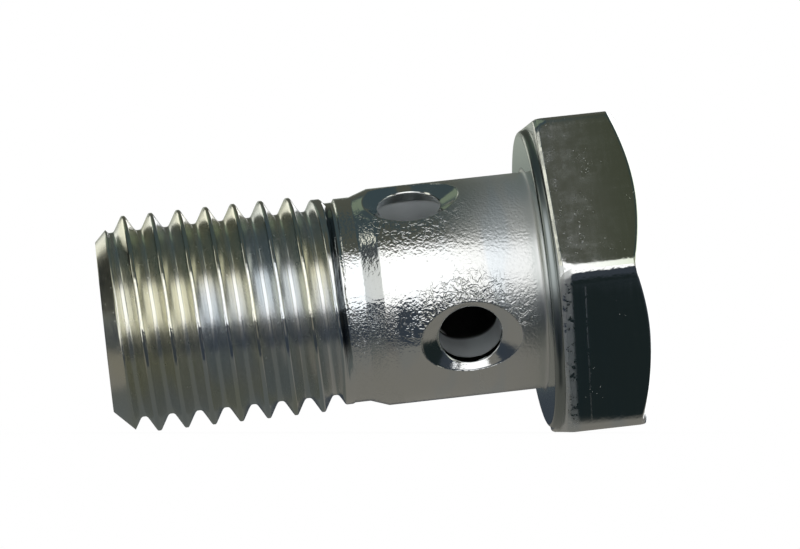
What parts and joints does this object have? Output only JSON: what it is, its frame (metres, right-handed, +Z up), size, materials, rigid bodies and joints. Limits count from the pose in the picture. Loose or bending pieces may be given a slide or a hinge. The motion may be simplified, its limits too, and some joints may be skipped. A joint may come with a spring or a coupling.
{
  "type": "banjo bolt",
  "caption": "Hex-head hollow bolt with a fine outside thread, a bored axis and cross holes under the head that pass fluid from a banjo eye into the bore.",
  "frame": {"origin": "centre of the bearing face under the head, on the bolt's axis", "axes": "+Z up, +X along the bolt towards the head and level, so the bolt's own axis rises 6.4 degrees from +X towards the head, as it lies at rest"},
  "size_m": [0.0304, 0.0194, 0.0174],
  "materials": {
    "zinc_plated_steel": "bright zinc plating over turned steel"
  },
  "bodies": {
    "root": {"banjo_bolt": "zinc_plated_steel"}
  },
  "joints": []
}
